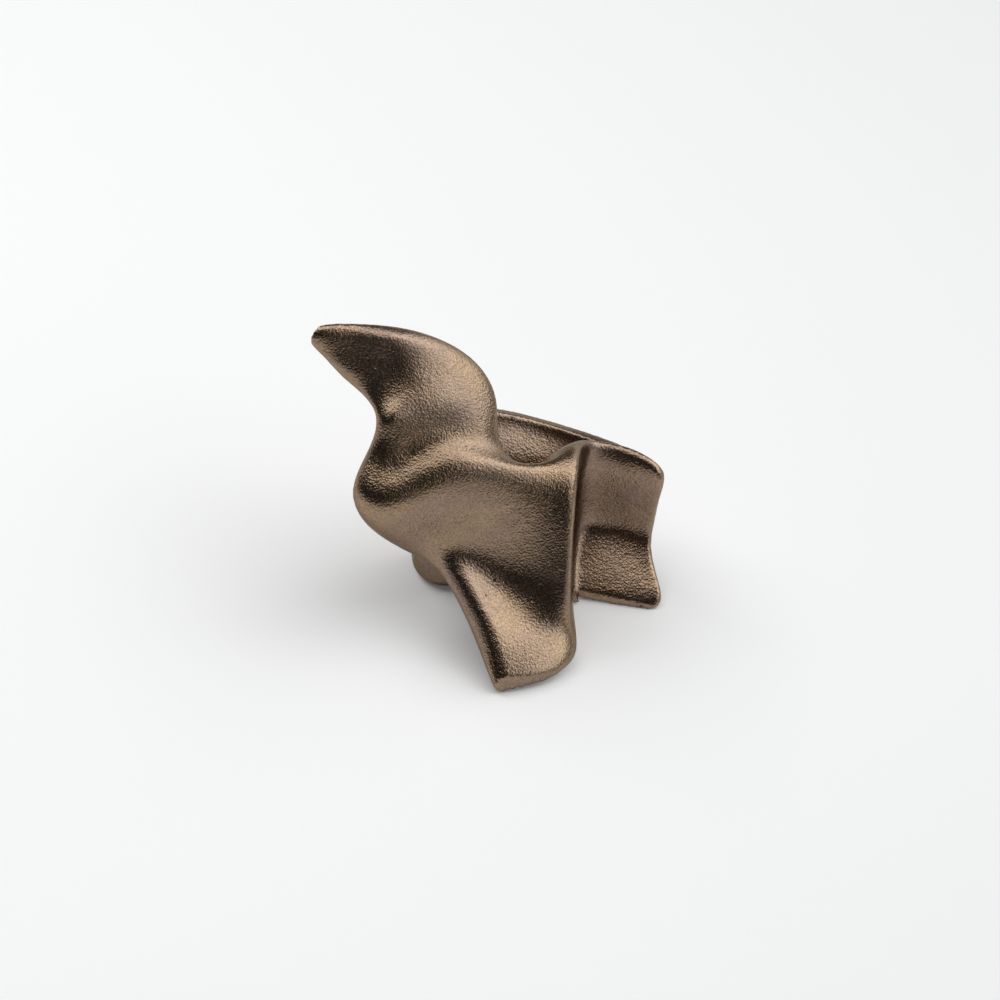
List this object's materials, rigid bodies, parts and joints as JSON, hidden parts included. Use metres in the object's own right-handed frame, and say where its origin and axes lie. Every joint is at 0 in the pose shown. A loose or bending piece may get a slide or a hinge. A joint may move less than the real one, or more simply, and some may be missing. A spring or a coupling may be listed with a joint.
{
  "type": "cabinet knob",
  "caption": "Cast bronze cabinet knob in the form of a folded wavy sheet with a rising horn, a flared foot, a side wing, a back wall and a round screw boss.",
  "frame": {"origin": "under the middle of the plan, on the plane of the cabinet face that the boss, the foot and the wing touch", "axes": "+Z away from the cabinet face, +X towards the wing, -Y towards the foot; the screw boss stands at x = -6.9 mm, y = 10.9 mm"},
  "size_m": [0.0569, 0.0411, 0.0519],
  "materials": {
    "cast_bronze": "dark brown patina over cast bronze, satin, with a fine leathery casting grain"
  },
  "bodies": {
    "root": {"knob_body": "cast_bronze"}
  },
  "joints": []
}
